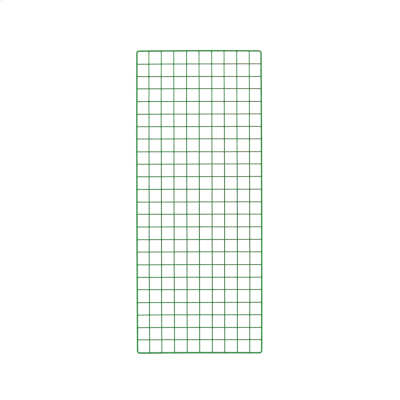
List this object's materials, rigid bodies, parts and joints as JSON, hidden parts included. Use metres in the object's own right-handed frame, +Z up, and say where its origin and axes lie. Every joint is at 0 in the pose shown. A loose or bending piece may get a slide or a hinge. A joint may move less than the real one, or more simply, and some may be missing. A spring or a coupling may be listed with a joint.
{
  "type": "livestock mesh panel",
  "caption": "Flat rectangular pen panel: a border rod bent into a loop with rounded corners, filled with a welded square grid of thinner plastic-coated wires.",
  "frame": {"origin": "middle of the panel's width and of the border rod's thickness, at the lowest line of the bottom rail", "axes": "+Z up along the uprights, +X to the right along the cross wires, +Y from the front, where the cross wires are, to the back"},
  "size_m": [0.5, 0.0054, 1.208],
  "materials": {
    "border_coat": "semi-gloss green plastic dip coat over a steel rod",
    "wire_coat": "semi-gloss green plastic dip coat over steel wire"
  },
  "bodies": {
    "root": {"border_rod": "border_coat", "upright_wire_1": "wire_coat", "upright_wire_2": "wire_coat", "upright_wire_3": "wire_coat", "upright_wire_4": "wire_coat", "upright_wire_5": "wire_coat", "upright_wire_6": "wire_coat", "upright_wire_7": "wire_coat", "upright_wire_8": "wire_coat", "upright_wire_9": "wire_coat", "cross_wire_1": "wire_coat", "cross_wire_2": "wire_coat", "cross_wire_3": "wire_coat", "cross_wire_4": "wire_coat", "cross_wire_5": "wire_coat", "cross_wire_6": "wire_coat", "cross_wire_7": "wire_coat", "cross_wire_8": "wire_coat", "cross_wire_9": "wire_coat", "cross_wire_10": "wire_coat", "cross_wire_11": "wire_coat", "cross_wire_12": "wire_coat", "cross_wire_13": "wire_coat", "cross_wire_14": "wire_coat", "cross_wire_15": "wire_coat", "cross_wire_16": "wire_coat", "cross_wire_17": "wire_coat", "cross_wire_18": "wire_coat", "cross_wire_19": "wire_coat", "cross_wire_20": "wire_coat", "cross_wire_21": "wire_coat", "cross_wire_22": "wire_coat", "cross_wire_23": "wire_coat"}
  },
  "joints": []
}
